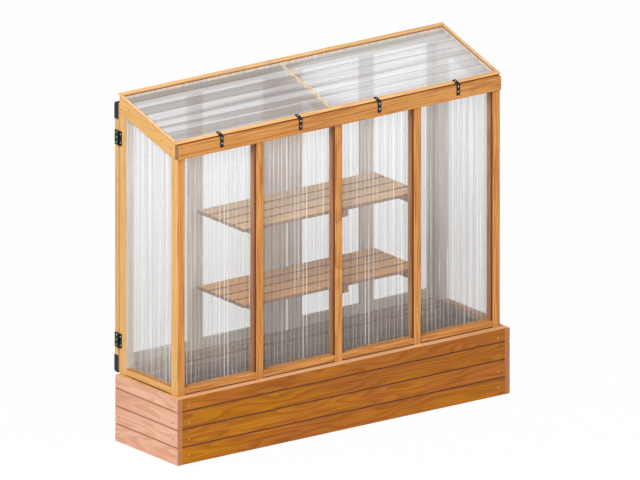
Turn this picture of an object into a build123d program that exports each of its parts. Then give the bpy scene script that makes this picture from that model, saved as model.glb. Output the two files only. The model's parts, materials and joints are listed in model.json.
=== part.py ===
from build123d import *
import math
import os

# Small pent-roofed grow house: a clad timber planter base, a light softwood frame
# filled with clear corrugated sheet, two slatted shelves and a pair of doors on the high side.
# Frame of the model: X along the length, Y from the low glazed side to the doors, Z up,
# with the origin on the ground under the middle of the whole house, doors included.

# Planter base
base_length = 1283.0
base_depth = 329.0
board_thickness = 18.0
board_height = 58.0
top_board_height = 42.0
full_boards = 3
board_joint = 0.8
board_bevel = 2.0
batten_size = 30.0
ledger_depth = 40.0
ledger_height = 30.0

# Upright frame
post_width = 30.0
post_depth = 32.0
post_arris = 1.5
bays = 4
front_set_in = 26.0
back_set_in = 0.0
end_set_in = board_thickness
bottom_rail_height = 20.0
rail_lift = 3.0

# Sloping top frame
fascia_front = 20.0
fascia_thickness = 18.0
fascia_top = 1032.5
fascia_height = 42.5
roof_slope = 16.0
end_rail_depth = 51.0
end_rail_overrun = 2.0
top_rail_height = 23.0
rafter_width = 22.0
rafter_depth = 38.0

# Lips round the roof sheet and the flat laths laid on them
lip_height = 4.5
lath_thickness = 3.0
end_lath_width = 10.0
cross_lath_width = 16.0
lath_overhang = 3.5
lath_lip = 2.5
lath_back_lip = 8.5
lath_front_set_back = 10.0
lath_joint = 0.3
fascia_ledge = 4.0
sheet_drop = 5.0

# Corrugated sheet
wave_pitch = 32.0
roof_wave_pitch = 38.3
wave_rise = 6.0
sheet_thickness = 1.0
sheet_gap = 0.3
front_sheet_recess = 22.0
end_sheet_recess = 12.0
sheet_head_lap = 12.0

# Doors
door_gap = 7.0
door_thickness = 19.0
door_lift = 3.5
door_top_drop = 22.5
meeting_gap = 14.0
meeting_offset = 34.0
hinge_stile = 45.0
middle_stile = 48.0
left_middle_stile_in = 302.0
right_middle_stile_in = 284.0
left_meeting_stile = 80.0
right_meeting_stile = 46.0
door_bottom_rail = 47.0
door_top_rail = 25.0
door_rail_set_in = 1.0

# Butt hinges on the ends
hinge_height = 47.0
post_leaf = 11.0
door_leaf = 18.0
hinge_plate = 2.0
knuckle_radius = 3.5
pin_radius = 1.6
pin_clearance = 0.3
lower_hinge_rise = 104.5
upper_hinge_drop = 113.5

# Black corner caps and knobs on the doors
cap_plate = 1.5
cap_height = 54.0
cap_wrap = 22.0
cap_corner_radius = 8.0
knob_radius = 12.0
knob_length = 16.0
knob_rise = 420.0

# Black angle brackets that tie the roof strip to the fascia
bracket_width = 12.0
bracket_plate = 2.0
bracket_drop = 37.0
bracket_reach = 24.0
bracket_bend = 2.5

# Slatted shelves
shelf_length = 681.0
slat_thickness = 11.0
slats = 4
slat_gap = 8.0
shelf_front_gap = 2.0
shelf_back_gap = 22.0
bearer_height = 20.0
lower_shelf_top = 455.0
upper_shelf_top = 703.0
left_bearer_in = 60.0
middle_bearer_in = 387.0
right_bearer_in = 650.0

# Sizes worked out from the ones above
half_length = base_length / 2
base_height = full_boards * board_height + top_board_height
frame_front = front_set_in
frame_back = base_depth - back_set_in
frame_half = half_length - end_set_in
rail_bottom = base_height + rail_lift
rail_top = rail_bottom + bottom_rail_height
fascia_back = fascia_front + fascia_thickness
slope = math.radians(roof_slope)
rail_vertical = end_rail_depth / math.cos(slope)
sheet_height = wave_rise + sheet_thickness
rebate = sheet_drop + sheet_height + sheet_gap
rafter_vertical = (rafter_depth + rebate) / math.cos(slope)
door_inner = frame_back + door_gap
door_outer = door_inner + door_thickness
origin_y = (door_outer + knob_length) / 2
door_bottom = base_height + door_lift
left_door_width = frame_half + meeting_offset - meeting_gap / 2
right_door_width = frame_half - meeting_offset - meeting_gap / 2
post_spacing = (2 * frame_half - post_width) / bays
post_centres = [-frame_half + post_width / 2 + i * post_spacing for i in range(bays + 1)]


def roof_height(y):
    """Height of the top of the rails at a distance y from the front."""
    return fascia_top + (y - fascia_front) * math.tan(slope)


door_top = roof_height(frame_back) - door_top_drop
fascia_bottom = fascia_top - fascia_height
back_rail_bottom = roof_height(frame_back - post_depth) - top_rail_height
sheet_edge = frame_half - end_lath_width / 2
sheet_back = frame_back - cross_lath_width / 2
roof_plane = Plane(
    origin=(0, fascia_front, fascia_top),
    x_dir=(1, 0, 0),
    z_dir=(0, -math.sin(slope), math.cos(slope)),
)


def block(x0, x1, y0, y1, z0, z1):
    """A box given by its two opposite corners."""
    return Pos((x0 + x1) / 2, (y0 + y1) / 2, (z0 + z1) / 2) * Box(x1 - x0, y1 - y0, z1 - z0)


def side_profile(x0, x1, points):
    """A piece with an outline drawn in the YZ plane, run from x0 to x1."""
    outline = make_face(Polyline([(0, y, z) for y, z in points], close=True))
    return Pos(x0, 0, 0) * extrude(outline, amount=x1 - x0, dir=(1, 0, 0))


def soften(piece, axis, size):
    """Planed arrises along one direction."""
    return chamfer(piece.edges().filter_by(axis), size)


def save(name, *pieces):
    """One file for each named node, moved so the origin lies under the middle."""
    solids = [Pos(0, -origin_y, 0) * solid for piece in pieces for solid in piece.solids()]
    shape = solids[0] if len(solids) == 1 else Compound(children=solids)
    shape.label = name
    export_step(shape, f"parts/{name}.step")


def wave_face(width, pitch):
    """Section of corrugated sheet: tangent arcs, crest up first, cut to a width."""
    half_pitch = pitch / 2
    amplitude = wave_rise / 2
    radius = (half_pitch**2 / 4 + amplitude**2) / (2 * amplitude)
    tilt = math.asin(half_pitch / 2 / radius)
    count = math.ceil(width / half_pitch) + 1
    start = -count * half_pitch / 2
    sides = []
    for offset in (sheet_thickness / 2, -sheet_thickness / 2):
        arcs = []
        for i in range(count):
            lift = 1 if i % 2 == 0 else -1
            x = start + i * half_pitch
            first = (x - lift * offset * math.sin(tilt), offset * math.cos(tilt))
            crest = (x + half_pitch / 2, lift * amplitude + offset)
            last = (x + half_pitch + lift * offset * math.sin(tilt), offset * math.cos(tilt))
            arcs.append(ThreePointArc(first, crest, last))
        sides.append(arcs)
    upper, lower = sides
    ends = [Line(upper[0] @ 0, lower[0] @ 0), Line(upper[-1] @ 1, lower[-1] @ 1)]
    section = make_face(Wire(upper + lower + ends))
    return section & Rectangle(width, 4 * wave_rise)


def wave_sheet(width, length, pitch=wave_pitch):
    """Corrugated sheet lying flat, ridges along Y, centred on the origin."""
    section = Plane.XZ * wave_face(width, pitch)
    return Pos(0, length / 2, 0) * extrude(section, amount=length, dir=(0, -1, 0))


def standing_sheet(x0, x1, y, z0, z1):
    """Corrugated sheet standing across the length with upright ridges."""
    flat = wave_sheet(x1 - x0, z1 - z0)
    return Pos((x0 + x1) / 2, y, (z0 + z1) / 2) * Rot(90, 0, 0) * flat


def board_stack(x0, x1, y0, y1, faces):
    """Planter boards one above another with bevelled joints on the outer face."""
    boards = []
    z = 0.0
    for i in range(full_boards + 1):
        height = board_height if i < full_boards else top_board_height
        top_gap = board_joint if i < full_boards else 0.0
        board = block(x0, x1, y0, y1, z, z + height - top_gap)
        outer = board.faces().sort_by(faces)[-1]
        level = [e for e in outer.edges() if abs(e.tangent_at(0.5).Z) < 0.5]
        boards.append(chamfer(level, board_bevel))
        z += height
    return boards


def make_base():
    """Planter walls, corner battens and the ledgers that carry the frame."""
    inside_x = half_length - board_thickness
    inside_back = base_depth - board_thickness
    save("base_left_boards", *board_stack(-half_length, -inside_x, 0, base_depth, -Axis.X))
    save("base_right_boards", *board_stack(inside_x, half_length, 0, base_depth, Axis.X))
    save("base_front_boards", *board_stack(-inside_x, inside_x, 0, board_thickness, -Axis.Y))
    save("base_back_boards", *board_stack(-inside_x, inside_x, inside_back, base_depth, Axis.Y))
    ledger_bottom = base_height - ledger_height
    battens = []
    for side in (-1, 1):
        for y0, y1 in (
            (board_thickness, board_thickness + batten_size),
            (inside_back - batten_size, inside_back),
        ):
            outer = side * inside_x
            inner = side * (inside_x - batten_size)
            battens.append(block(min(outer, inner), max(outer, inner), y0, y1, 0, ledger_bottom))
    save("base_corner_battens", *battens)
    front_ledger = block(
        -inside_x, inside_x, board_thickness, board_thickness + ledger_depth, ledger_bottom, base_height)
    back_ledger = block(
        -inside_x, inside_x, inside_back - ledger_depth, inside_back, ledger_bottom, base_height)
    save("base_ledgers", front_ledger, back_ledger)


def notched_post(overhead):
    """Side outline of a front post cut under the fascia and under a sloping piece behind it."""
    inner = frame_front + post_depth
    behind_fascia = min(roof_height(fascia_back) - overhead, fascia_bottom)
    return [
        (frame_front, base_height), (inner, base_height), (inner, roof_height(inner) - overhead),
        (fascia_back, behind_fascia), (fascia_back, fascia_bottom), (frame_front, fascia_bottom),
    ]


def make_posts():
    """Front posts notched for the fascia and the two back corner posts."""
    inner = frame_front + post_depth
    level = [
        (frame_front, base_height), (inner, base_height), (inner, fascia_bottom),
        (frame_front, fascia_bottom),
    ]
    outlines = [
        notched_post(rail_vertical), level, notched_post(rafter_vertical), level,
        notched_post(rail_vertical),
    ]
    posts = []
    for centre, outline in zip(post_centres, outlines):
        post = side_profile(centre - post_width / 2, centre + post_width / 2, outline)
        front_edges = post.edges().filter_by(Axis.Z).group_by(Axis.Y)[0]
        posts.append(chamfer(front_edges, post_arris))
    save("front_corner_posts", posts[0], posts[-1])
    save("front_middle_posts", *posts[1:-1])
    front = frame_back - post_depth
    back = [
        (front, base_height), (frame_back, base_height),
        (frame_back, roof_height(frame_back) - rail_vertical), (front, roof_height(front) - rail_vertical),
    ]
    save("back_posts",
         side_profile(-frame_half, -frame_half + post_width, back),
         side_profile(frame_half - post_width, frame_half, back))


def make_bottom_rails():
    """Rails between the feet of the posts."""
    front_rails = []
    for i in range(bays):
        x0 = post_centres[i] + post_width / 2
        x1 = post_centres[i + 1] - post_width / 2
        front_rails.append(block(x0, x1, frame_front, frame_front + post_depth, rail_bottom, rail_top))
    save("front_bottom_rails", *front_rails)
    y0 = frame_front + post_depth
    y1 = frame_back - post_depth
    save("end_bottom_rails",
         block(-frame_half, -frame_half + post_width, y0, y1, rail_bottom, rail_top),
         block(frame_half - post_width, frame_half, y0, y1, rail_bottom, rail_top))
    inner = frame_half - post_width
    save("back_bottom_rail", block(-inner, inner, y1, frame_back, rail_bottom, rail_top))


def sloped_piece(x0, x1, y0, y1, top, bottom):
    """A rafter-like piece: plumb cut ends, top and bottom measured square to the slope."""
    rise = top / math.cos(slope)
    fall = bottom / math.cos(slope)
    return side_profile(x0, x1, [
        (y0, roof_height(y0) + fall), (y1, roof_height(y1) + fall),
        (y1, roof_height(y1) + rise), (y0, roof_height(y0) + rise),
    ])


def make_top_frame():
    """Fascia, sloping end rails, back rail and the middle rafter, rebated for the sheet."""
    inner = frame_half - post_width
    front = frame_back - post_depth
    fascia = block(-frame_half, frame_half, fascia_front, fascia_back, fascia_bottom, fascia_top + post_width)
    fascia -= sloped_piece(-base_length, base_length, 0, base_depth, base_depth, 0)
    fascia -= sloped_piece(
        -sheet_edge, sheet_edge, fascia_back - fascia_ledge, base_depth, post_width, -rebate)
    save("front_fascia", fascia)
    for name, side in (("left_end_rail", -1), ("right_end_rail", 1)):
        outer, inside = side * frame_half, side * inner
        x0, x1 = min(outer, inside), max(outer, inside)
        rail = sloped_piece(x0, x1, fascia_back, frame_back + end_rail_overrun, 0, -end_rail_depth)
        rail -= sloped_piece(-sheet_edge, sheet_edge, 0, sheet_back, post_width, -rebate)
        save(name, rail)
    back_rail = side_profile(-inner, inner, [
        (front, back_rail_bottom), (frame_back, back_rail_bottom),
        (frame_back, roof_height(frame_back)), (front, roof_height(front)),
    ])
    back_rail -= sloped_piece(-base_length, base_length, 0, sheet_back, post_width, -rebate)
    save("back_top_rail", back_rail)
    save("roof_rafter", sloped_piece(
        -rafter_width / 2, rafter_width / 2, fascia_back, front, -rebate, -rebate - rafter_depth))


def roof_border(outer, end_width, front_strip, back_strip, low, high):
    """Four strips butted round the roof, laid out in the sloping plane."""
    ends = (front_strip[1] + lath_joint, back_strip[0] - lath_joint)
    strips = [
        block(-outer, outer, *front_strip, low, high),
        block(-outer, outer, *back_strip, low, high),
        block(-outer, end_width - outer, *ends, low, high),
        block(outer - end_width, outer, *ends, low, high),
    ]
    return [roof_plane.location * strip for strip in strips]


def make_roof():
    """Corrugated roof sheet held down by lips and flat laths round its four sides."""
    front = lath_front_set_back
    front_inner = front + cross_lath_width
    back = (frame_back - fascia_front) / math.cos(slope)
    back_inner = back + lath_back_lip - cross_lath_width
    save("roof_lips", *roof_border(
        frame_half, end_lath_width - lath_overhang, (front + lath_lip, front_inner),
        (back_inner, back), 0, lip_height))
    save("roof_laths", *roof_border(
        frame_half + lath_overhang, end_lath_width, (front, front_inner),
        (back_inner, back + lath_back_lip), lip_height, lip_height + lath_thickness))
    first = (fascia_back - fascia_ledge - fascia_front + sheet_gap) / math.cos(slope)
    last = (sheet_back - fascia_front) / math.cos(slope) - rebate * math.tan(slope) - sheet_gap
    flat = Rot(0, 0, 90) * wave_sheet(last - first, 2 * (sheet_edge - sheet_gap), roof_wave_pitch)
    middle = -sheet_drop - sheet_height / 2
    save("roof_sheet", roof_plane.location * Pos(0, (first + last) / 2, middle) * flat)


def make_wall_sheets():
    """Four front sheets and the two end sheets cut to the slope."""
    sheet_y = frame_front + front_sheet_recess + sheet_height / 2
    front_top = fascia_bottom + sheet_head_lap
    front_sheets = []
    for i in range(bays):
        x0 = post_centres[i] + post_width / 2 + sheet_gap
        x1 = post_centres[i + 1] - post_width / 2 - sheet_gap
        front_sheets.append(standing_sheet(x0, x1, sheet_y, rail_top + sheet_gap, front_top))
    save("front_sheets", *front_sheets)
    y0 = frame_front + post_depth + sheet_gap
    y1 = frame_back - post_depth - sheet_gap
    height = roof_height(y1) - rail_top
    flat = wave_sheet(y1 - y0, height)
    upright = Rot(0, 0, 90) * Rot(90, 0, 0) * flat
    for name, side in (("left_end_sheet", -1), ("right_end_sheet", 1)):
        x = side * (frame_half - end_sheet_recess - sheet_height / 2)
        sheet = Pos(x, (y0 + y1) / 2, rail_top + sheet_gap + height / 2) * upright
        sheet -= sloped_piece(
            -base_length, base_length, 0, base_depth, base_height, -end_rail_depth - sheet_gap)
        save(name, sheet)


def make_brackets():
    """Four bent straps, flat on the front lath and down the face of the fascia, one to a bay."""
    corner_z = roof_height(fascia_front) + (lip_height + lath_thickness) / math.cos(slope)
    reach_y = fascia_front + bracket_reach * math.cos(slope)
    reach_z = corner_z + bracket_reach * math.sin(slope)
    bottom = corner_z - bracket_drop
    face = fascia_front - bracket_plate
    outer_z = corner_z + bracket_plate / math.cos(slope) - bracket_plate * math.tan(slope)
    outline = [
        (face, bottom), (fascia_front, bottom), (fascia_front, corner_z), (reach_y, reach_z),
        (reach_y - bracket_plate * math.sin(slope), reach_z + bracket_plate * math.cos(slope)),
        (face, outer_z),
    ]
    pieces = []
    for left, right in zip(post_centres, post_centres[1:]):
        middle = (left + right) / 2
        strap = side_profile(middle - bracket_width / 2, middle + bracket_width / 2, outline)
        across = strap.edges().filter_by(Axis.X)
        outer = across.sort_by_distance((middle, face, outer_z))[0]
        strap = fillet(outer, bracket_bend + bracket_plate)
        inner = strap.edges().filter_by(Axis.X).sort_by_distance((middle, fascia_front, corner_z))[0]
        pieces.append(fillet(inner, bracket_bend))
    save("roof_brackets", *pieces)


def hinge_leaf_piece(z, toward_door):
    """One leaf of a butt hinge on the left end, with its knuckles."""
    axis_x = -frame_half - knuckle_radius
    axis_y = frame_back + door_gap / 2
    plate_x0, plate_x1 = -frame_half - hinge_plate, -frame_half
    z0, z1 = z - hinge_height / 2, z + hinge_height / 2
    third = hinge_height / 3
    play = 0.25
    run = 1 if toward_door else -1
    edge = axis_y + run * (knuckle_radius + (door_leaf if toward_door else post_leaf))
    near = axis_y + run * (knuckle_radius + pin_clearance)
    if toward_door:
        bands = [(z0, z0 + third - play), (z1 - third + play, z1)]
    else:
        bands = [(z0 + third + play, z1 - third - play)]
    leaf = block(plate_x0, plate_x1, min(near, edge), max(near, edge), z0, z1)
    for low, high in bands:
        barrel = Pos(axis_x, axis_y, (low + high) / 2) * Cylinder(knuckle_radius, high - low)
        link = block(plate_x0, plate_x1, min(axis_y, near), max(axis_y, near), low, high)
        leaf += barrel + link
    pin = Pos(axis_x, axis_y, z) * Cylinder(pin_radius, hinge_height)
    if toward_door:
        return leaf + pin
    return leaf - Pos(axis_x, axis_y, z) * Cylinder(pin_radius + pin_clearance, hinge_height)


def make_hinges():
    """Two butt hinges at each end, as a fixed leaf and a door leaf each."""
    centres = (door_bottom + lower_hinge_rise, door_top - upper_hinge_drop)
    for toward_door, kind in ((False, "post"), (True, "door")):
        leaves = [hinge_leaf_piece(z, toward_door) for z in centres]
        save(f"left_hinge_{kind}_leaves", *leaves)
        save(f"right_hinge_{kind}_leaves", *[leaf.mirror(Plane.YZ) for leaf in leaves])


def corner_cap(left, z0, z1, rounded_end):
    """Thin black cap folded round the end, face and foot or head of a door's outer corner."""
    foot = z0 if rounded_end == "foot" else z1
    fold = cap_plate if rounded_end == "head" else -cap_plate
    shell = block(left - cap_plate, left + cap_wrap, door_inner, door_outer + cap_plate,
                  min(z0, foot + fold), max(z1, foot + fold))
    edge = shell.edges().filter_by(Axis.X).sort_by_distance((left, door_outer + cap_plate, foot + fold))[0]
    shell = fillet(edge, cap_corner_radius + cap_plate)
    core = block(left, left + 2 * cap_wrap, door_inner, door_outer, z0, z1)
    edge = core.edges().filter_by(Axis.X).sort_by_distance((left, door_outer, foot))[0]
    return shell - fillet(edge, cap_corner_radius)


def door_parts(width, middle_stile_in, meeting_stile):
    """Pieces of a door hung on the left: stiles, rails, sheets, corner caps and knob."""
    y0, y1 = door_inner, door_outer
    left = -frame_half
    right = left + width
    middle = left + middle_stile_in
    stiles = [
        (left, left + hinge_stile),
        (middle - middle_stile / 2, middle + middle_stile / 2),
        (right - meeting_stile, right),
    ]
    hung = block(*stiles[0], y0, y1, door_bottom, door_top)
    corners = hung.edges().filter_by(Axis.X).group_by(Axis.Y)[-1]
    stile_pieces = [fillet(corners, cap_corner_radius)]
    stile_pieces += [
        soften(block(x0, x1, y0, y1, door_bottom, door_top), Axis.Z, post_arris) for x0, x1 in stiles[1:]
    ]
    rails = []
    sheets = []
    foot_top = door_bottom + door_bottom_rail
    head_bottom = door_top - door_top_rail
    for (_, x0), (x1, _) in zip(stiles, stiles[1:]):
        face0, face1 = y0 + door_rail_set_in, y1 - door_rail_set_in
        rails.append(block(x0, x1, face0, face1, door_bottom, foot_top))
        rails.append(block(x0, x1, face0, face1, head_bottom, door_top))
        sheets.append(standing_sheet(
            x0 + sheet_gap, x1 - sheet_gap, (y0 + y1) / 2, foot_top + sheet_gap, head_bottom - sheet_gap))
    caps = [
        corner_cap(left, door_bottom, door_bottom + cap_height, "foot"),
        corner_cap(left, door_top - cap_height, door_top, "head"),
    ]
    knob_x = right - right_meeting_stile / 2
    knob_z = door_bottom + knob_rise
    neck = Pos(knob_x, y1 + knob_length / 3, knob_z) * Rot(90, 0, 0) * Cylinder(
        knob_radius * 0.5, knob_length * 2 / 3)
    head = Pos(knob_x, y1 + knob_length * 0.75, knob_z) * Rot(90, 0, 0) * Cylinder(
        knob_radius, knob_length / 2)
    return {"stiles": stile_pieces, "rails": rails, "sheets": sheets, "corner_caps": caps, "knob": [neck + head]}


def make_doors():
    """The pair of doors on the high side, the left leaf wider and the right one mirrored."""
    for part, pieces in door_parts(left_door_width, left_middle_stile_in, left_meeting_stile).items():
        save(f"left_door_{part}", *pieces)
    for part, pieces in door_parts(right_door_width, right_middle_stile_in, right_meeting_stile).items():
        save(f"right_door_{part}", *[piece.mirror(Plane.YZ) for piece in pieces])


def make_shelves():
    """Two slatted shelves on bearers that run from front to back."""
    shelf_front = frame_front + post_depth + shelf_front_gap
    shelf_back = frame_back - shelf_back_gap
    depth = shelf_back - shelf_front
    slat_width = (depth - (slats - 1) * slat_gap) / slats
    for name, top in (("lower", lower_shelf_top), ("upper", upper_shelf_top)):
        pieces = []
        for i in range(slats):
            y0 = shelf_front + i * (slat_width + slat_gap)
            slat = block(-shelf_length / 2, shelf_length / 2, y0, y0 + slat_width, top - slat_thickness, top)
            pieces.append(soften(slat, Axis.X, post_arris))
        save(f"{name}_shelf_slats", *pieces)
        bearers = []
        for place in (left_bearer_in, middle_bearer_in, right_bearer_in):
            x = place - shelf_length / 2
            bearers.append(block(
                x - post_width / 2, x + post_width / 2, frame_front + post_depth, shelf_back,
                top - slat_thickness - bearer_height, top - slat_thickness))
        save(f"{name}_shelf_bearers", *bearers)


os.makedirs("parts", exist_ok=True)
make_base()
make_posts()
make_bottom_rails()
make_top_frame()
make_roof()
make_wall_sheets()
make_brackets()
make_hinges()
make_doors()
make_shelves()
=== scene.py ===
import json
import math

import bmesh
import bpy
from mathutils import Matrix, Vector

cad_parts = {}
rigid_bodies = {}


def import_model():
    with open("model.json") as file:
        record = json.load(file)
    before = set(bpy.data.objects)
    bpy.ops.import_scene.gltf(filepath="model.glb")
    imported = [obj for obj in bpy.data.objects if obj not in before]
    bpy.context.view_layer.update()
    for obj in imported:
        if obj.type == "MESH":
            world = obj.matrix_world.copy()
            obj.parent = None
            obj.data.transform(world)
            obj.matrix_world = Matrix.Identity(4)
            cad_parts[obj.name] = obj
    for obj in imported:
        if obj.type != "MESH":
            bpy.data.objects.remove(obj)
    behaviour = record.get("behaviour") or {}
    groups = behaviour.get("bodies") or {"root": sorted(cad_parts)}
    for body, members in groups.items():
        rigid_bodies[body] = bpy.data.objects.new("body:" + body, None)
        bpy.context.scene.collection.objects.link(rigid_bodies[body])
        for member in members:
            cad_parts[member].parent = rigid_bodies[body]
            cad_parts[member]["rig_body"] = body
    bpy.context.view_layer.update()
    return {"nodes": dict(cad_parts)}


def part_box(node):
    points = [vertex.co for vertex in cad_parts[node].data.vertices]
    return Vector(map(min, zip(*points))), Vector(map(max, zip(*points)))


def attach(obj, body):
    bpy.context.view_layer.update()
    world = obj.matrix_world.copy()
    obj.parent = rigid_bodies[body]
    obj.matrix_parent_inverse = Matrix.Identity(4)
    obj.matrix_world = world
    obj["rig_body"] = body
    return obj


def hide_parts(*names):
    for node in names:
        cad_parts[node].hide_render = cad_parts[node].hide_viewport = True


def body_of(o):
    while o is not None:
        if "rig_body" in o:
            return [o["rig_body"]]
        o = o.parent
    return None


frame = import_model()
nodes = frame["nodes"]
scene = bpy.context.scene

MM = 0.001
X, Y, Z = range(3)
RIGHT = (1.0, 0.0, 0.0)
BACK = (0.0, 1.0, 0.0)
FRONT = (0.0, -1.0, 0.0)
SLOPE = math.radians(16.0)
UP_SLOPE = (0.0, math.cos(SLOPE), math.sin(SLOPE))
OFF_SLOPE = (0.0, -math.sin(SLOPE), math.cos(SLOPE))
HALF_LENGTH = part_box("front_fascia")[1].x
PLANTER_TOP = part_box("base_front_boards")[1].z
POST_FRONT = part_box("front_corner_posts")[0].y


# Shader helpers: a wrapped socket takes part in plain expressions.
class Value:
    def __init__(self, look, socket):
        self.look = look
        self.socket = socket

    def maths(self, operation, *others):
        return self.look.node("ShaderNodeMath", {"operation": operation}, self, *others)

    def __add__(self, other):
        return self.maths("ADD", other)

    def __radd__(self, other):
        return self.maths("ADD", other)

    def __sub__(self, other):
        return self.maths("SUBTRACT", other)

    def __rsub__(self, other):
        return self.look.node("ShaderNodeMath", {"operation": "SUBTRACT"}, other, self)

    def __mul__(self, other):
        return self.maths("MULTIPLY", other)

    def __truediv__(self, other):
        return self.maths("DIVIDE", other)

    def __pow__(self, other):
        return self.maths("POWER", other)


class Look:
    """A material made of a Principled shader and the nodes that feed it."""

    def __init__(self, name):
        self.material = bpy.data.materials.new(name)
        self.material.use_nodes = True
        self.tree = self.material.node_tree
        self.shader = self.tree.nodes["Principled BSDF"]

    def plug(self, socket, value):
        """Link a Value to a socket, or set a constant on it; None leaves the socket as it is."""
        if isinstance(value, Value):
            self.tree.links.new(value.socket, socket)
        elif value is not None:
            socket.default_value = (*value[:3], 1.0) if socket.type == "RGBA" else value

    def node(self, kind, settings, *values, out=0, **named):
        made = self.tree.nodes.new(kind)
        for key, setting in settings.items():
            setattr(made, key, setting)
        for index, value in enumerate(values):
            self.plug(made.inputs[index], value)
        for key, value in named.items():
            self.plug(made.inputs[key.replace("_", " ")], value)
        return Value(self, made.outputs[out])

    def coordinates(self, kind):
        return self.node("ShaderNodeTexCoord", {}, out=kind)

    def split(self, vector):
        """The three numbers of a vector."""
        made = self.tree.nodes.new("ShaderNodeSeparateXYZ")
        self.plug(made.inputs[0], vector)
        return [Value(self, output) for output in made.outputs]

    def vector(self, x, y, z):
        return self.node("ShaderNodeCombineXYZ", {}, x, y, z)

    def noise(self, vector, scale=1.0, detail=2.0, roughness=0.5):
        return self.node(
            "ShaderNodeTexNoise", {}, Vector=vector, Scale=scale, Detail=detail, Roughness=roughness)

    def ramp(self, value, low, high):
        """0 at low, 1 at high, smooth between."""
        return self.node(
            "ShaderNodeMapRange", {"interpolation_type": "SMOOTHSTEP"}, value, low, high, 0.0, 1.0)

    def mix(self, factor, first, second):
        """The first colour at factor 0, the second at 1."""
        made = self.tree.nodes.new("ShaderNodeMix")
        made.data_type = "RGBA"
        self.plug(made.inputs[0], factor)
        self.plug(made.inputs[6], first)
        self.plug(made.inputs[7], second)
        return Value(self, made.outputs[2])

    def bump(self, height, strength, distance):
        return self.node(
            "ShaderNodeBump", {}, Strength=strength, Distance=distance, Height=height, out="Normal")

    def feed(self, **inputs):
        for key, value in inputs.items():
            self.plug(self.shader.inputs[key.replace("_", " ")], value)
        return self.material


def wood(name, axis, light, deep, dark, ring=9.0, flame=1.0, knots=0.5, streaky=0.55, gloss=0.25,
         board=None, left_sheen=None, shade=None):
    """Planed softwood along one axis, from a light, a deep and a dark tone.

    ring is the pitch of the growth rings in mm and flame how far they wander; board tells boards of
    one node apart; left_sheen is how much of which colour faces that look left take, a painted sheen
    of the light from the left; shade is a strip of painted shade along the front, from its start to
    its end, and its colour.
    """
    look = Look(name)
    place = look.split(look.coordinates("Object"))
    along = place[axis]
    across = [place[i] for i in (X, Y, Z) if i != axis]
    seed = board(place) if board else along * 0.0
    chance = look.node("ShaderNodeTexWhiteNoise", {"noise_dimensions": "1D"}, W=seed + 3.7, out="Value")
    shift = seed * 1.37 + chance * 4.0

    # Grain that wanders slowly, and knots with the grain swirling round them.
    slow = look.noise(look.vector(along * 1.7 + shift, across[0] * 13.0, across[1] * 13.0 + shift))
    knot_place = look.vector(along * 6.0 + shift * 3.0, across[0] * 9.0, across[1] * 9.0 + shift)
    knot_gap = look.node("ShaderNodeTexVoronoi", {}, Vector=knot_place, Scale=1.0, out="Distance")
    knot = 1.0 - look.ramp(knot_gap, 0.03, 0.11)
    swirl = 1.0 - look.ramp(knot_gap, 0.06, 0.38)

    # Growth rings round a pith beside the piece, each with a late band that ends sharply.
    pith_u = across[0] + 0.021
    pith_v = across[1] - 0.045
    radius = (pith_u * pith_u + pith_v * pith_v).maths("SQRT")
    rings = radius * (1000.0 / ring) + slow * (8.0 * flame) + swirl * (1.6 * knots) + shift * 2.0
    phase = rings.maths("FRACT")
    late = look.ramp(phase, 0.30, 0.90) - look.ramp(phase, 0.90, 1.0)

    # Fibres, streaks and patches, from fine to broad, all drawn out along the board.
    fibre_place = look.vector(along * 7.0 + shift, across[0] * 420.0, across[1] * 420.0)
    fibre = look.noise(fibre_place, detail=3.0, roughness=0.6)
    streak = look.noise(look.vector(along * 5.0 + shift * 2.0, across[0] * 150.0, across[1] * 150.0))
    patch = look.noise(look.vector(along * 2.1 + shift * 5.0, across[0] * 8.0, across[1] * 8.0))

    # The tones, laid over each other from the broadest pattern to the knots.
    colour = look.mix(look.ramp(patch, 0.34, 0.66), light, deep)
    colour = look.mix(late * 0.58, colour, dark)
    colour = look.mix((fibre - 0.5) * 0.9 + 0.2, colour, deep)
    colour = look.mix(look.ramp(streak, 0.48, 0.62) * streaky, colour, dark)
    colour = look.mix(look.ramp(streak, 0.48, 0.28) * 0.22, colour, light)
    colour = look.mix(chance * 0.20, colour, dark)
    colour = look.mix(knot * (0.75 * knots), colour, tuple(0.45 * part for part in dark))
    # Painted shade: towards the front arris the colour darkens to the shade colour.
    if shade:
        start, end, shadow = shade
        colour = look.mix(look.ramp(place[Y], start, end), shadow, colour)
    # Painted sheen: faces that look left are mixed towards a paler colour, for the light from the left.
    if left_sheen:
        share, sheen_colour = left_sheen
        faces_left = look.ramp(look.split(look.coordinates("Normal"))[X] * -1.0, 0.55, 0.85)
        colour = look.mix(faces_left * share, colour, sheen_colour)
    normal = look.bump(fibre * 0.6 + late * 0.4, 0.25, 0.4 * MM)
    return look.feed(
        Base_Color=colour, Roughness=0.46 + fibre * 0.2, Normal=normal, Specular_IOR_Level=gloss)


def paint(name, colour, roughness, metallic=0.0, grain=0.0, gloss=0.5):
    """An even finish with a trace of unevenness in its gloss."""
    look = Look(name)
    speckle = look.noise(look.coordinates("Object"), 900.0)
    tone = look.mix(speckle * 0.35, colour, tuple(0.7 * part for part in colour))
    normal = look.bump(speckle, grain, 0.2 * MM)
    return look.feed(
        Base_Color=tone, Roughness=speckle * 0.12 + roughness, Metallic=metallic, Normal=normal,
        Specular_IOR_Level=gloss)


# Mesh helpers: copies of CAD nodes and new pieces that go with them. The angles are in radians.
COPLANAR = math.radians(0.5)
SHARP = 0.5
CREASE = 0.6


def merged_copy(name):
    """The CAD node's mesh as a bmesh with its loose triangles joined up."""
    shape = bmesh.new()
    shape.from_mesh(nodes[name].data)
    bmesh.ops.remove_doubles(shape, verts=shape.verts, dist=0.01 * MM)
    bmesh.ops.dissolve_limit(shape, angle_limit=COPLANAR, verts=shape.verts, edges=shape.edges)
    return shape


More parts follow.
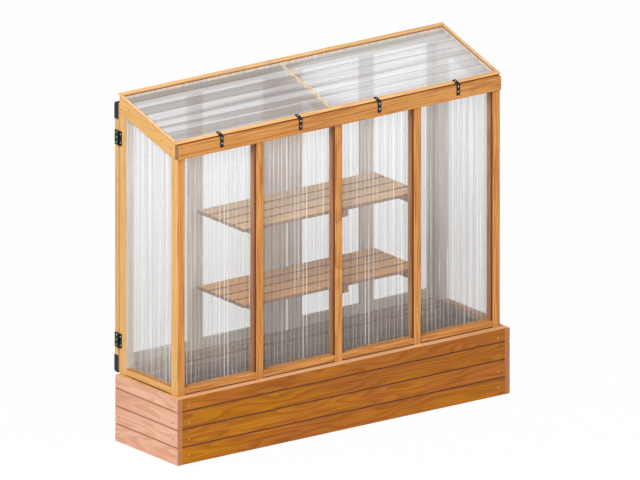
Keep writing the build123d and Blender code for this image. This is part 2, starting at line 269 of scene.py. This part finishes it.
def show(name, shape, materials, rides_with):
    """An object made from a bmesh that moves with a CAD node's body and has its material slot."""
    mesh = bpy.data.meshes.new(name)
    shape.to_mesh(mesh)
    shape.free()
    for material in materials:
        mesh.materials.append(material)
    made = bpy.data.objects.new(name, mesh)
    scene.collection.objects.link(made)
    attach(made, body_of(nodes[rides_with])[0])
    return made


def dress(name, *materials, pick=None, width=0.9):
    """A copy of a CAD node with its arrises planed off, width in mm; pick gives a face's material."""
    shape = merged_copy(name)
    sharp = [edge for edge in shape.edges if len(edge.link_faces) == 2 and edge.calc_face_angle() > SHARP]
    bmesh.ops.bevel(
        shape, geom=sharp, offset=width * MM, segments=2, profile=0.5, affect="EDGES",
        clamp_overlap=True, material=-1)
    if pick:
        for face in shape.faces:
            face.material_index = pick(face.normal, face.calc_center_median())
    made = show(f"{name}_planed", shape, materials, name)
    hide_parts(name)


def glaze(name, material):
    """A copy of a CAD sheet node with its waves shaded smooth and its cut edges kept crisp."""
    shape = merged_copy(name)
    for edge in shape.edges:
        edge.smooth = len(edge.link_faces) == 2 and edge.calc_face_angle() < CREASE
    for face in shape.faces:
        face.smooth = True
    made = show(f"{name}_clear", shape, [material], name)
    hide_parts(name)


def cover(name, material):
    """A procedural finish on a CAD node as it is."""
    mesh = nodes[name].data
    mesh.materials.clear()
    mesh.materials.append(material)


def inward(normal, centre):
    """1 for a face that looks towards the middle of the house, 0 for the others."""
    return int(normal.x * centre.x + normal.y * centre.y < -10 * MM)


# Frame timber: planed softwood, 30 mm square and thinner, stained a warm honey orange outside and
# bare inside, with a painted sheen on the faces that look left and dark painted shade on the sides
# where the posts meet the sheets. The posts stand on the planter and carry the sloping top frame.
ROOF_LEVEL = PLANTER_TOP + 0.5
HONEY = (0.72, 0.350, 0.100)
AMBER = (0.61, 0.270, 0.066)
RUST = (0.33, 0.100, 0.016)
# Painted sheen on the faces that look left: its share and its colour.
LEFT_SHEEN = (0.45, (0.86, 0.56, 0.20))
# Painted shade: the post sides that meet the sheets darken to this colour at the front arris.
CORNER_SHADE = (POST_FRONT + 5 * MM, POST_FRONT + 14 * MM, (0.14, 0.032, 0.004))


def front_post_face(normal, centre):
    """0 outside, 1 on the sides that meet the sheets, painted dark as shade, 2 at the back of the front
    posts.
    """
    if abs(normal.x) > 0.6 and abs(centre.x) < HALF_LENGTH - MM:
        return 1
    return 2 * int(normal.y > 0.5)


def bottom_rail_face(normal, centre):
    """0 outside, 1 inside, 2 on the underside, painted dark as the shadow line under the rail."""
    return 2 if normal.z < -0.2 else inward(normal, centre)


def end_rail_face(normal, centre):
    """1 on a face that looks inward, or up at the roof sheet, 0 on the others."""
    return int(inward(normal, centre) or (normal.z > 0.5 and centre.z > ROOF_LEVEL))


def fascia_face(normal, centre):
    """0 outside, 1 inside, 2 on the sawn ends."""
    return 2 if abs(normal.x) > 0.6 else inward(normal, centre)


def rafter_face(normal, centre):
    """0 on top, 1 on the sides and underneath."""
    return int(normal.z < 0.7)


upright = wood("frame_upright", Z, HONEY, AMBER, RUST, left_sheen=LEFT_SHEEN)
lengthwise = wood("frame_lengthwise", X, HONEY, AMBER, RUST, left_sheen=LEFT_SHEEN)
endwise = wood("frame_endwise", Y, HONEY, AMBER, RUST, left_sheen=LEFT_SHEEN)
# Painted shade: a dark copy of the frame timber, for the post sides that meet the sheets and the roof
# lips.
side_shade = wood(
    "frame_side_painted_shade", Z, (0.52, 0.27, 0.14), (0.42, 0.19, 0.085), (0.26, 0.10, 0.035),
    knots=0.0, shade=CORNER_SHADE)
bare = wood("bare_inside", Z, (0.84, 0.76, 0.67), (0.76, 0.68, 0.59), (0.56, 0.48, 0.40), knots=0.3)
# Painted shade: bare timber low down inside the house, painted darker than the bare timber above.
shaded_low_bare = wood("low_timber_painted_shade", X, (0.50, 0.36, 0.25), (0.42, 0.29, 0.20), (0.28, 0.18, 0.12), knots=0.0)
rafter_top = wood(
    "roof_rafter_top", Y, (0.98, 0.80, 0.56), (0.92, 0.72, 0.46), (0.72, 0.48, 0.24), knots=0.2)
end_grain = wood(
    "frame_end_grain", X, (0.34, 0.20, 0.10), (0.28, 0.155, 0.075), (0.17, 0.085, 0.035), knots=0.0)
# Painted shadow: the dark line along the underside of the front bottom rails.
shadow_line = paint("rail_painted_shadow", (0.10, 0.030, 0.008), 0.8)

for node in ("front_corner_posts", "front_middle_posts"):
    dress(node, upright, side_shade, bare, pick=front_post_face)
dress("back_posts", upright, bare, pick=inward)
dress("front_bottom_rails", lengthwise, shaded_low_bare, shadow_line, pick=bottom_rail_face, width=1.3)
dress("back_bottom_rail", shaded_low_bare)
dress("front_fascia", lengthwise, bare, end_grain, pick=fascia_face)
dress("back_top_rail", lengthwise, bare, pick=inward)
dress("end_bottom_rails", endwise, shaded_low_bare, pick=end_rail_face)
dress("left_end_rail", endwise, bare, pick=end_rail_face)
dress("right_end_rail", endwise, bare, pick=end_rail_face)
dress("roof_rafter", rafter_top, bare, pick=rafter_face)

# Roof edge: flat softwood laths, paler than the frame, pinned down over the edges of the roof
# sheet, which lies inside thin lips on top of the frame, painted dark as the shade under the laths.
END_LATH = 12 * MM


def roof_lath_face(normal, centre):
    """0 on the laths along the house, 1 on the laths at its ends."""
    return int(abs(centre.x) > HALF_LENGTH - END_LATH and abs(normal.x) < 0.9)


lath = wood("frame_lath", X, (0.93, 0.60, 0.29), (0.86, 0.50, 0.21), (0.66, 0.32, 0.11), knots=0.2)
side_lath = wood(
    "frame_side_lath", Y, (0.95, 0.68, 0.40), (0.90, 0.58, 0.30), (0.70, 0.36, 0.14), knots=0.2)
dress("roof_laths", lath, side_lath, pick=roof_lath_face, width=0.6)
dress("roof_lips", side_shade, width=0.6)

# Planter: four courses of softwood boards a side, the end boards painted paler and pinker than the
# long sides as a sheen of the light, screwed to battens in the corners, with a ledger inside that is
# flush with the top.
COURSES = 4
BOARD_HEIGHT = 58 * MM


def course(place):
    """The number of the board that a point is on, counted from the ground."""
    return (place[Z] / BOARD_HEIGHT).maths("FLOOR")


def board_face(normal, centre):
    """0 outside, 1 inside, 2 on the top ledge, 3 on end edges, 4 in the joints."""
    on_rim = centre.y < 0 or abs(centre.x) > HALF_LENGTH
    if normal.z > 0.6 and centre.z > PLANTER_TOP - MM and on_rim:
        return 2
    if 0.15 < abs(normal.z) < 0.98 and 10 * MM < centre.z < PLANTER_TOP - 10 * MM:
        return 4
    if abs(centre.x) > HALF_LENGTH and abs(normal.y) > 0.6:
        return 3
    return int(inward(normal, centre) and abs(normal.z) < 0.5)


front_boards = wood(
    "planter_long_boards", X, (0.53, 0.210, 0.002), (0.42, 0.135, 0.024), (0.21, 0.050, 0.002),
    ring=15.0, flame=1.5, knots=0.0, streaky=0.22, gloss=0.1, board=course)
# Painted sheen: the end boards are a paler, pinker copy of the planter's boards.
end_boards = wood(
    "planter_end_boards_painted_sheen", Y, (0.80, 0.47, 0.33), (0.72, 0.38, 0.25), (0.55, 0.24, 0.13),
    ring=15.0, flame=1.2, knots=0.0, streaky=0.25, board=course)
board_ends = wood(
    "planter_board_ends", Z, (0.52, 0.225, 0.10), (0.45, 0.18, 0.075), (0.30, 0.10, 0.035),
    knots=0.0, streaky=0.2)
# Painted shade: the bare wood inside the planter, painted darker and greyer for the shade in there.
inside_shade = wood(
    "planter_painted_shade_inside", X, (0.46, 0.32, 0.225), (0.37, 0.25, 0.18), (0.24, 0.155, 0.11), knots=0.0)
ledge = wood("planter_ledge", X, (0.88, 0.55, 0.31), (0.80, 0.46, 0.24), (0.60, 0.28, 0.12), knots=0.0)
joint = paint("planter_joint", (0.20, 0.060, 0.018), 0.8)
end_joint = paint("planter_end_joint", (0.46, 0.20, 0.11), 0.8)
for side in ("front", "back"):
    dress(f"base_{side}_boards", front_boards, inside_shade, ledge, front_boards, joint,
          pick=board_face, width=0.45)
for side in ("left", "right"):
    dress(f"base_{side}_boards", end_boards, inside_shade, ledge, board_ends, end_joint,
          pick=board_face, width=0.35)
dress("base_corner_battens", inside_shade)
dress("base_ledgers", shaded_low_bare, inside_shade, ledge, shaded_low_bare, shaded_low_bare, pick=board_face)


# Shelves: four bare softwood slats each, their edges and undersides painted dark as shade, screwed
# down on bearers that run back from the front posts.
def slat_face(normal, centre):
    """0 on top, 1 on the edges and underneath."""
    return int(normal.z < 0.95)


upper_slat = wood(
    "shelf_slat", X, (1.0, 0.67, 0.31), (0.95, 0.58, 0.23), (0.72, 0.38, 0.14), knots=0.3, streaky=0.3)
lower_slat = wood(
    "lower_shelf_slat", X, (0.98, 0.54, 0.13), (0.92, 0.45, 0.09), (0.66, 0.28, 0.05),
    knots=0.3, streaky=0.3)
shaded_slat_faces = wood(
    "shelf_slat_painted_shade", X, (0.42, 0.165, 0.045), (0.34, 0.120, 0.030), (0.20, 0.070, 0.018), knots=0.0)
bearer = wood("shelf_bearer", Y, (0.50, 0.29, 0.13), (0.42, 0.23, 0.10), (0.28, 0.13, 0.05), knots=0.3)
for shelf, slat in (("lower", lower_slat), ("upper", upper_slat)):
    dress(f"{shelf}_shelf_slats", slat, shaded_slat_faces, pick=slat_face, width=1.3)
    dress(f"{shelf}_shelf_bearers", bearer)


# Doors: a pair on the high side, stiles and rails of the stained timber round clear sheets, bare
# on the inside, with a wooden knob on the outer face of each.
def door_face(normal, centre):
    """0 on the outer face and the outer end of a door, 1 on the others."""
    return int(normal.y < 0.5 and abs(centre.x) < HALF_LENGTH - MM)


for side in ("left", "right"):
    dress(f"{side}_door_stiles", upright, bare, pick=door_face)
    dress(f"{side}_door_rails", lengthwise, bare, pick=door_face)
    dress(f"{side}_door_knob", upright, width=1.2)


# Clear corrugated plastic sheet, 1 mm thick, let into the frames: see-through with a light haze.
# Its tone is painted greyer low down as shade and paler high up, the thin grey lines along the
# crests and troughs of its waves are painted for the light bent there, and the glints on one flank
# of them are painted highlights. The roof sheet lies with its waves along the house and has long
# soft bands.
# Heights between which the painted grey shade low down turns into the pale tone high up.
GREY_BELOW = 0.45
PALE_ABOVE = 0.95


def waves(look, along, out):
    """Slope of the wave, from -1 to 1, the same on both skins of the sheet."""
    normal = look.coordinates("Normal")
    tilt = look.node("ShaderNodeVectorMath", {"operation": "DOT_PRODUCT"}, normal, along, out="Value")
    front = look.node("ShaderNodeVectorMath", {"operation": "DOT_PRODUCT"}, normal, out, out="Value")
    return tilt * front * 2.0


def clear_sheet(name, along, out, line_low, line_high, line_veil, haze=0.12, shine=0.30,
                pale=(0.91, 0.94, 0.98), band=None):
    """See-through sheet, whose waves go along one direction and stand out in another.

    The lines have one colour low down and another one high up, and line_veil says how much they
    hide; haze is the veil between them, pale its colour high up, and band adds broad soft bands.
    """
    look = Look(name)
    place = look.split(look.coordinates("Object"))
    wave = waves(look, along, out)
    line = 1.0 - look.ramp(wave.maths("ABSOLUTE"), 0.0, 0.70)
    high = look.ramp(place[Z], GREY_BELOW, PALE_ABOVE)
    glance = look.node("ShaderNodeLayerWeight", {}, Blend=0.35, out="Facing")
    drift = look.noise(look.vector(place[X] * 30.0, place[Y] * 30.0, place[Z] * 1.5), detail=1.0)
    # Painted highlight: white glints along one flank of each wave, broken up by noise.
    glint_place = look.vector(place[X] * 34.0, place[Y] * 34.0, place[Z] * 3.0)
    glint = look.ramp(look.noise(glint_place, detail=1.0), 0.50, 0.66)
    glint = glint * (1.0 - look.ramp((wave - 0.55).maths("ABSOLUTE"), 0.02, 0.22))

    # Painted shade and light: grey low down, pale high up, with painted lines along the bends and painted
    # white glints.
    tone = look.mix(high, (0.52, 0.505, 0.49), pale)
    tone = look.mix(line, tone, look.mix(high, line_low, line_high))
    tone = look.mix(glint, tone, (0.98, 0.98, 0.98))
    veil = haze - high * 0.03 + glance ** 2.0 * 0.16
    veil = veil + line * (drift * 0.8 + 0.6) * (high * 0.4 + 0.6) * line_veil
    veil = veil + glint * shine
    if band:
        shade = band(look, place)
        tone = look.mix(shade, tone, (0.43, 0.39, 0.365))
        over_rafter = 1.0 - look.ramp(place[X].maths("ABSOLUTE"), 6 * MM, 10 * MM)
        veil = (veil + shade * 0.22) * (1.0 - over_rafter * 0.85)
    return look.feed(Base_Color=tone, Roughness=0.12, Alpha=veil, IOR=1.49)


def roof_bands(look, place):
    """Long soft bands across the roof, greyer to the left."""
    right = look.ramp(place[X], -0.1, 0.15)
    broad = look.noise(look.vector(place[X] * 0.35, place[Y] * 26.0, 3.0), detail=1.0)
    fine = look.noise(look.vector(place[X] * 0.9, place[Y] * 60.0, 0.0), detail=1.0)
    wide_band = look.ramp(broad, 0.46, 0.55) * 0.55 + (0.50 - right * 0.45)
    return wide_band * (1.0 - right * 0.5) + look.ramp(fine, 0.50, 0.62) * 0.40


wall_clear = clear_sheet(
    "clear_wall_sheet", RIGHT, BACK, (0.60, 0.59, 0.585), (0.72, 0.74, 0.77), 0.20)
end_clear = clear_sheet(
    "clear_end_sheet", BACK, RIGHT, (0.74, 0.73, 0.72), (0.62, 0.63, 0.64), 0.18,
    haze=0.19, shine=0.16, pale=(0.70, 0.71, 0.72))
roof_clear = clear_sheet(
    "clear_roof_sheet", UP_SLOPE, OFF_SLOPE, (0.9, 0.9, 0.9), (0.96, 0.97, 0.98), 0.05,
    haze=0.36, shine=0.10, band=roof_bands)
for node in ("front_sheets", "left_door_sheets", "right_door_sheets"):
    glaze(node, wall_clear)
for node in ("left_end_sheet", "right_end_sheet"):
    glaze(node, end_clear)
glaze("roof_sheet", roof_clear)

# Black metal: pressed angle brackets along the low side of the roof, corner caps on the doors and
# butt hinges, all with a satin lacquer and held by small screws.
black = paint("black_lacquer", (0.004, 0.004, 0.004), 0.30, grain=0.15, gloss=0.30)
for node in ("roof_brackets", "left_door_corner_caps", "right_door_corner_caps",
             "left_hinge_post_leaves", "left_hinge_door_leaves",
             "right_hinge_post_leaves", "right_hinge_door_leaves"):
    cover(node, black)


# Screw heads: round, with a cross recess, seated on the surface that they hold. Each head is a
# closed stack of rings: an outline, its share of the radius, and its height as a share of proud.
HEAD_SIDES = 16
ROUND = (1.0,) * HEAD_SIDES
CROSS = (0.56, 0.22, 0.17, 0.22) * (HEAD_SIDES // 4)
RECESS_FLOOR = 0.2
HEAD_RINGS = (
    (ROUND, 1.0, -0.6), (ROUND, 1.0, 0.3), (ROUND, 0.86, 0.8), (ROUND, 0.66, 1.0),
    (CROSS, 1.0, 1.0), (CROSS, 0.8, RECESS_FLOOR))


def solids(name):
    """Low and high corners of each separate solid of a CAD node."""
    shape = merged_copy(name)
    seen = set()
    boxes = []
    for first in shape.verts:
        if first in seen:
            continue
        seen.add(first)
        reached = [first]
        for vert in reached:
            for edge in vert.link_edges:
                other = edge.other_vert(vert)
                if other not in seen:
                    seen.add(other)
                    reached.append(other)
        boxes.append([
            Vector(extreme(vert.co[i] for vert in reached) for i in (X, Y, Z)) for extreme in (min, max)])
    shape.free()
    return boxes


def add_head(shape, point, out, radius, proud):
    """Add one screw head at a point, facing out."""
    turn = Vector(out).to_track_quat("Z", "Y").to_matrix()

    def corner(sideways, up):
        return shape.verts.new(Vector(point) + turn @ Vector((*sideways, up * proud)))

    rings = []
    for outline, share, lift in HEAD_RINGS:
        ring = []
        for step, reach in enumerate(outline):
            angle = math.tau * step / HEAD_SIDES
            distance = radius * share * reach
            ring.append(corner((math.cos(angle) * distance, math.sin(angle) * distance), lift))
        rings.append(ring)
    shape.faces.new(list(reversed(rings[0])))
    for low, high in zip(rings, rings[1:]):
        for i in range(HEAD_SIDES):
            shape.faces.new((low[i], low[(i + 1) % HEAD_SIDES], high[(i + 1) % HEAD_SIDES], high[i]))
    recess = corner((0.0, 0.0), RECESS_FLOOR)
    for i in range(HEAD_SIDES):
        shape.faces.new((rings[-1][i], rings[-1][(i + 1) % HEAD_SIDES], recess))


def screws(name, spots, material, rides_with, radius, proud=0.8):
    """Screw heads at (point, direction) spots in metres, as one object on a node's body."""
    shape = bmesh.new()
    for point, out in spots:
        add_head(shape, point, out, radius * MM, proud * MM)
    bmesh.ops.recalc_face_normals(shape, faces=shape.faces)
    show(name, shape, [material], rides_with)


plated = paint("plated_screw", (0.62, 0.60, 0.56), 0.30, metallic=0.9)
dull = paint("dull_screw", (0.16, 0.085, 0.045), 0.55)
dull_plated = paint("dull_plated_screw", (0.66, 0.46, 0.30), 0.45, metallic=0.5)

# Bracket screws: plated, two through the hanging leaf of each bracket into the fascia and one
# through its sloping leaf into the roof edge.
HANGING_LEAF_UP = (12.0, 29.0)
SLOPING_LEAF_DOWN = 9.0 * MM
spots = []
for low, high in solids("roof_brackets"):
    middle = (low.x + high.x) / 2
    for up in HANGING_LEAF_UP:
        spots.append(((middle, low.y, low.z + up * MM), FRONT))
    back = high.y - SLOPING_LEAF_DOWN * math.cos(SLOPE)
    top = high.z - SLOPING_LEAF_DOWN * math.sin(SLOPE)
    spots.append(((middle, back, top), OFF_SLOPE))
screws("bracket_screws", spots, plated, "roof_brackets", radius=2.5)

# Hinge and cap screws: two plated ones in each post leaf, three in each door leaf, which swing
# with the door, and black ones in both faces of the corner caps.
LEAF_SCREWS = {"post": (-14.0, 14.0), "door": (-16.0, 0.0, 16.0)}
LEAF_PROUD = 2.0 * MM
POST_LEAF_IN = 5.5 * MM
DOOR_LEAF_IN = 9.0 * MM
CAP_SCREWS = (-15.0, 15.0)
CAP_IN = 13.0 * MM
for side, way in (("left", -1.0), ("right", 1.0)):
    out = (way, 0.0, 0.0)
    for leaf, levels in LEAF_SCREWS.items():
        spots = []
        for low, high in solids(f"{side}_hinge_{leaf}_leaves"):
            level = (low.z + high.z) / 2
            depth = low.y + POST_LEAF_IN if leaf == "post" else high.y - DOOR_LEAF_IN
            face = way * (HALF_LENGTH + LEAF_PROUD)
            spots += [((face, depth, level + up * MM), out) for up in levels]
        screws(f"{side}_hinge_{leaf}_screws", spots, plated, f"{side}_hinge_{leaf}_leaves", radius=2.3)
    spots = []
    for low, high in solids(f"{side}_door_corner_caps"):
        level = (low.z + high.z) / 2
        face = low.x if side == "left" else high.x
        for up in CAP_SCREWS:
            spots.append(((face, (low.y + high.y) / 2, level + up * MM), out))
            spots.append(((face - way * CAP_IN, high.y, level + up * MM), BACK))
    screws(f"{side}_cap_screws", spots, black, f"{side}_door_corner_caps", radius=2.3)

# Timber screws: plated ones through both ends of each long planter board, dull ones through the
# planter's end boards, the sloping end rails and the ends of the fascia. Places are in mm.
LONG_BOARD_IN = 27 * MM
END_BOARD_DEPTHS = (-161.0, 125.0)
END_RAIL_SPOTS = ((133.0, 1082.0), (98.0, 1086.0), (-75.0, 1033.0), (-126.0, 1019.0), (-126.0, 997.0))
FASCIA_IN = 13 * MM
FASCIA_DOWN = (9.0, 31.0)
low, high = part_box("base_front_boards")
levels = [PLANTER_TOP * (i + 0.5) / COURSES for i in range(COURSES)]
for side, y, out in (("front", low.y, FRONT), ("back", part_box("base_back_boards")[1].y, BACK)):
    spots = [((x, y, z), out) for z in levels for x in (low.x + LONG_BOARD_IN, high.x - LONG_BOARD_IN)]
    screws(f"base_{side}_screws", spots, dull_plated, f"base_{side}_boards", radius=2.2, proud=0.4)
for side, way in (("left", -1.0), ("right", 1.0)):
    out = (way, 0.0, 0.0)
    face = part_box(f"base_{side}_boards")[int(way > 0)].x
    spots = [((face, y * MM, z), out) for z in levels for y in END_BOARD_DEPTHS]
    screws(f"base_{side}_screws", spots, dull, f"base_{side}_boards", radius=2.4, proud=0.4)
    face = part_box(f"{side}_end_rail")[int(way > 0)].x
    spots = [((face, y * MM, z * MM), out) for y, z in END_RAIL_SPOTS]
    screws(f"{side}_end_rail_screws", spots, dull, f"{side}_end_rail", radius=2.4, proud=0.4)
low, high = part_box("front_fascia")
spots = [((x, low.y, high.z - down * MM), FRONT)
         for x in (low.x + FASCIA_IN, high.x - FASCIA_IN) for down in FASCIA_DOWN]
screws("fascia_screws", spots, dull, "front_fascia", radius=2.4, proud=0.4)

# Stage: a wide pale floor just under the house. The camera sees it almost white, straight or
# through the sheets, and it still takes the shadow.
FLOOR_REACH = 60.0
FLOOR_DROP = 0.5 * MM
floor_mesh = bpy.data.meshes.new("floor")
floor_mesh.from_pydata(
    [(-FLOOR_REACH, -FLOOR_REACH, 0), (FLOOR_REACH, -FLOOR_REACH, 0),
     (FLOOR_REACH, FLOOR_REACH, 0), (-FLOOR_REACH, FLOOR_REACH, 0)], [], [(0, 1, 2, 3)])
floor = bpy.data.objects.new("floor", floor_mesh)
scene.collection.objects.link(floor)
floor.location.z = -FLOOR_DROP
finish = Look("pale_floor")
finish.feed(Base_Color=(0.86, 0.86, 0.86), Roughness=0.9)
rays = finish.tree.nodes.new("ShaderNodeLightPath")
seen_by = [Value(finish, rays.outputs[f"Is {kind} Ray"]) for kind in ("Camera", "Glossy", "Transmission")]
seen = seen_by[0].maths("MAXIMUM", seen_by[1]).maths("MAXIMUM", seen_by[2])
glow = finish.node("ShaderNodeEmission", {}, (1.0, 1.0, 1.0), 1.0)
matt = Value(finish, finish.shader.outputs[0])
blend = finish.node("ShaderNodeMixShader", {}, seen * 0.97, matt, glow)
finish.plug(finish.tree.nodes["Material Output"].inputs["Surface"], blend)
floor_mesh.materials.append(finish.material)

# Light: an even white sky, a soft key from the upper left and a weaker fill from the front.
AIM_LIGHT = (0, 0, 0.5)
world = bpy.data.worlds.new("studio")
scene.world = world
world.use_nodes = True
sky = world.node_tree.nodes["Background"]
sky.inputs["Color"].default_value = (1.0, 1.0, 1.0, 1.0)
sky.inputs["Strength"].default_value = 0.50


def lamp(name, place, size, power):
    """A square soft light aimed at the middle of the house."""
    data = bpy.data.lights.new(name, "AREA")
    data.size = size
    data.energy = power
    made = bpy.data.objects.new(name, data)
    made.location = place
    made.rotation_euler = (Vector(AIM_LIGHT) - Vector(place)).to_track_quat("-Z", "Y").to_euler()
    scene.collection.objects.link(made)


lamp("key", (-4.2, -2.4, 4.6), size=2.6, power=290)
lamp("fill", (2.6, -5.5, 2.4), size=3.0, power=95)

# Camera: the photograph's own angle and scale, without perspective.
AIM = Vector((18.9, -34.8, 578.3)) * MM
AZIMUTH = math.radians(-36.2)
ELEVATION = math.radians(17.45)
DISTANCE = 20.0
PICTURE_WIDTH = 640
PIXELS_PER_METRE = 320.9
towards_camera = Vector((
    math.sin(AZIMUTH) * math.cos(ELEVATION),
    -math.cos(AZIMUTH) * math.cos(ELEVATION),
    math.sin(ELEVATION)))
lens = bpy.data.cameras.new("camera")
lens.type = "ORTHO"
lens.ortho_scale = PICTURE_WIDTH / PIXELS_PER_METRE
lens.clip_end = 200.0
camera = bpy.data.objects.new("camera", lens)
camera.location = AIM + towards_camera * DISTANCE
camera.rotation_euler = (-towards_camera).to_track_quat("-Z", "Y").to_euler()
scene.collection.objects.link(camera)
scene.camera = camera
scene.view_settings.view_transform = "Standard"
